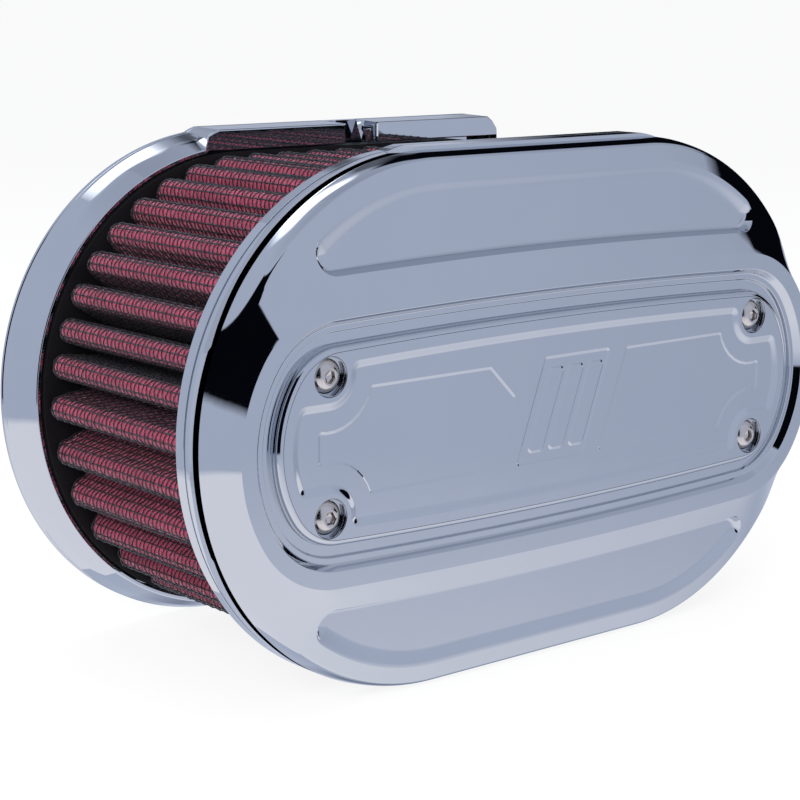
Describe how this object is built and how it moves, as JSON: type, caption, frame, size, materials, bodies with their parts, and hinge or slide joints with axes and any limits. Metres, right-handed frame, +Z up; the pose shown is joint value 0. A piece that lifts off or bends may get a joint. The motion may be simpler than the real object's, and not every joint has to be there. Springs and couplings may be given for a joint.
{
  "type": "motorcycle air cleaner",
  "caption": "Racetrack-shaped motorcycle air cleaner: chrome domed cover with a screwed insert plate, pleated red gauze element under wire mesh, and a chrome backplate with intake bore.",
  "frame": {"origin": "centre of the intake bore on the backplate's rear mounting face", "axes": "+X to the right seen from the front, +Y out of the mounting face towards the engine, +Z up; the cover's front faces -Y"},
  "size_m": [0.2344, 0.112, 0.1514],
  "materials": {
    "chrome": "polished chrome plate on aluminium",
    "chrome_plate": "polished chrome plate over fine milling lines",
    "stainless": "polished stainless",
    "zinc_steel": "zinc plated",
    "machined_aluminium": "machined",
    "oiled_gauze": "oiled cotton gauze, crimson",
    "wire_screen": "epoxy coated wire, dark grey",
    "end_cap_urethane": "moulded urethane, black",
    "seal_rubber": "matte black"
  },
  "bodies": {
    "base": {"backplate": "chrome", "rear_gasket": "seal_rubber", "breather_seal_left": "seal_rubber", "breather_seal_right": "seal_rubber", "velocity_ring": "machined_aluminium", "post_1": "machined_aluminium", "post_2": "machined_aluminium", "post_3": "machined_aluminium", "post_4": "machined_aluminium"},
    "filter": {"rear_end_cap": "end_cap_urethane", "front_end_cap": "end_cap_urethane", "filter_media": "oiled_gauze", "outer_mesh": "wire_screen", "inner_mesh": "wire_screen"},
    "cover": {"front_cover": "chrome", "cover_gasket": "seal_rubber", "cover_washer_1": "zinc_steel", "cover_washer_2": "zinc_steel", "cover_washer_3": "zinc_steel", "cover_washer_4": "zinc_steel", "cover_screw_1": "zinc_steel", "cover_screw_2": "zinc_steel", "cover_screw_3": "zinc_steel", "cover_screw_4": "zinc_steel"},
    "insert": {"insert_plate": "chrome_plate"},
    "screw_1": {"insert_screw_1": "stainless"},
    "screw_2": {"insert_screw_2": "stainless"},
    "screw_3": {"insert_screw_3": "stainless"},
    "screw_4": {"insert_screw_4": "stainless"}
  },
  "joints": [
    {"name": "cover_slide", "type": "slide", "parent": "base", "child": "cover", "axis": [0, -1, 0], "range_m": [0, 0.12]},
    {"name": "filter_slide", "type": "slide", "parent": "base", "child": "filter", "axis": [0, -1, 0], "range_m": [0, 0.06]},
    {"name": "insert_slide", "type": "slide", "parent": "cover", "child": "insert", "axis": [0, -1, 0], "range_m": [0, 0.025]},
    {"name": "screw_1_slide", "type": "slide", "parent": "insert", "child": "screw_1", "axis": [0, -1, 0], "range_m": [0, 0.012]},
    {"name": "screw_2_slide", "type": "slide", "parent": "insert", "child": "screw_2", "axis": [0, -1, 0], "range_m": [0, 0.012]},
    {"name": "screw_3_slide", "type": "slide", "parent": "insert", "child": "screw_3", "axis": [0, -1, 0], "range_m": [0, 0.012]},
    {"name": "screw_4_slide", "type": "slide", "parent": "insert", "child": "screw_4", "axis": [0, -1, 0], "range_m": [0, 0.012]}
  ],
  "couplings": [
    {"joint": "filter_slide", "follows": "cover_slide", "ratio": 0.5}
  ]
}
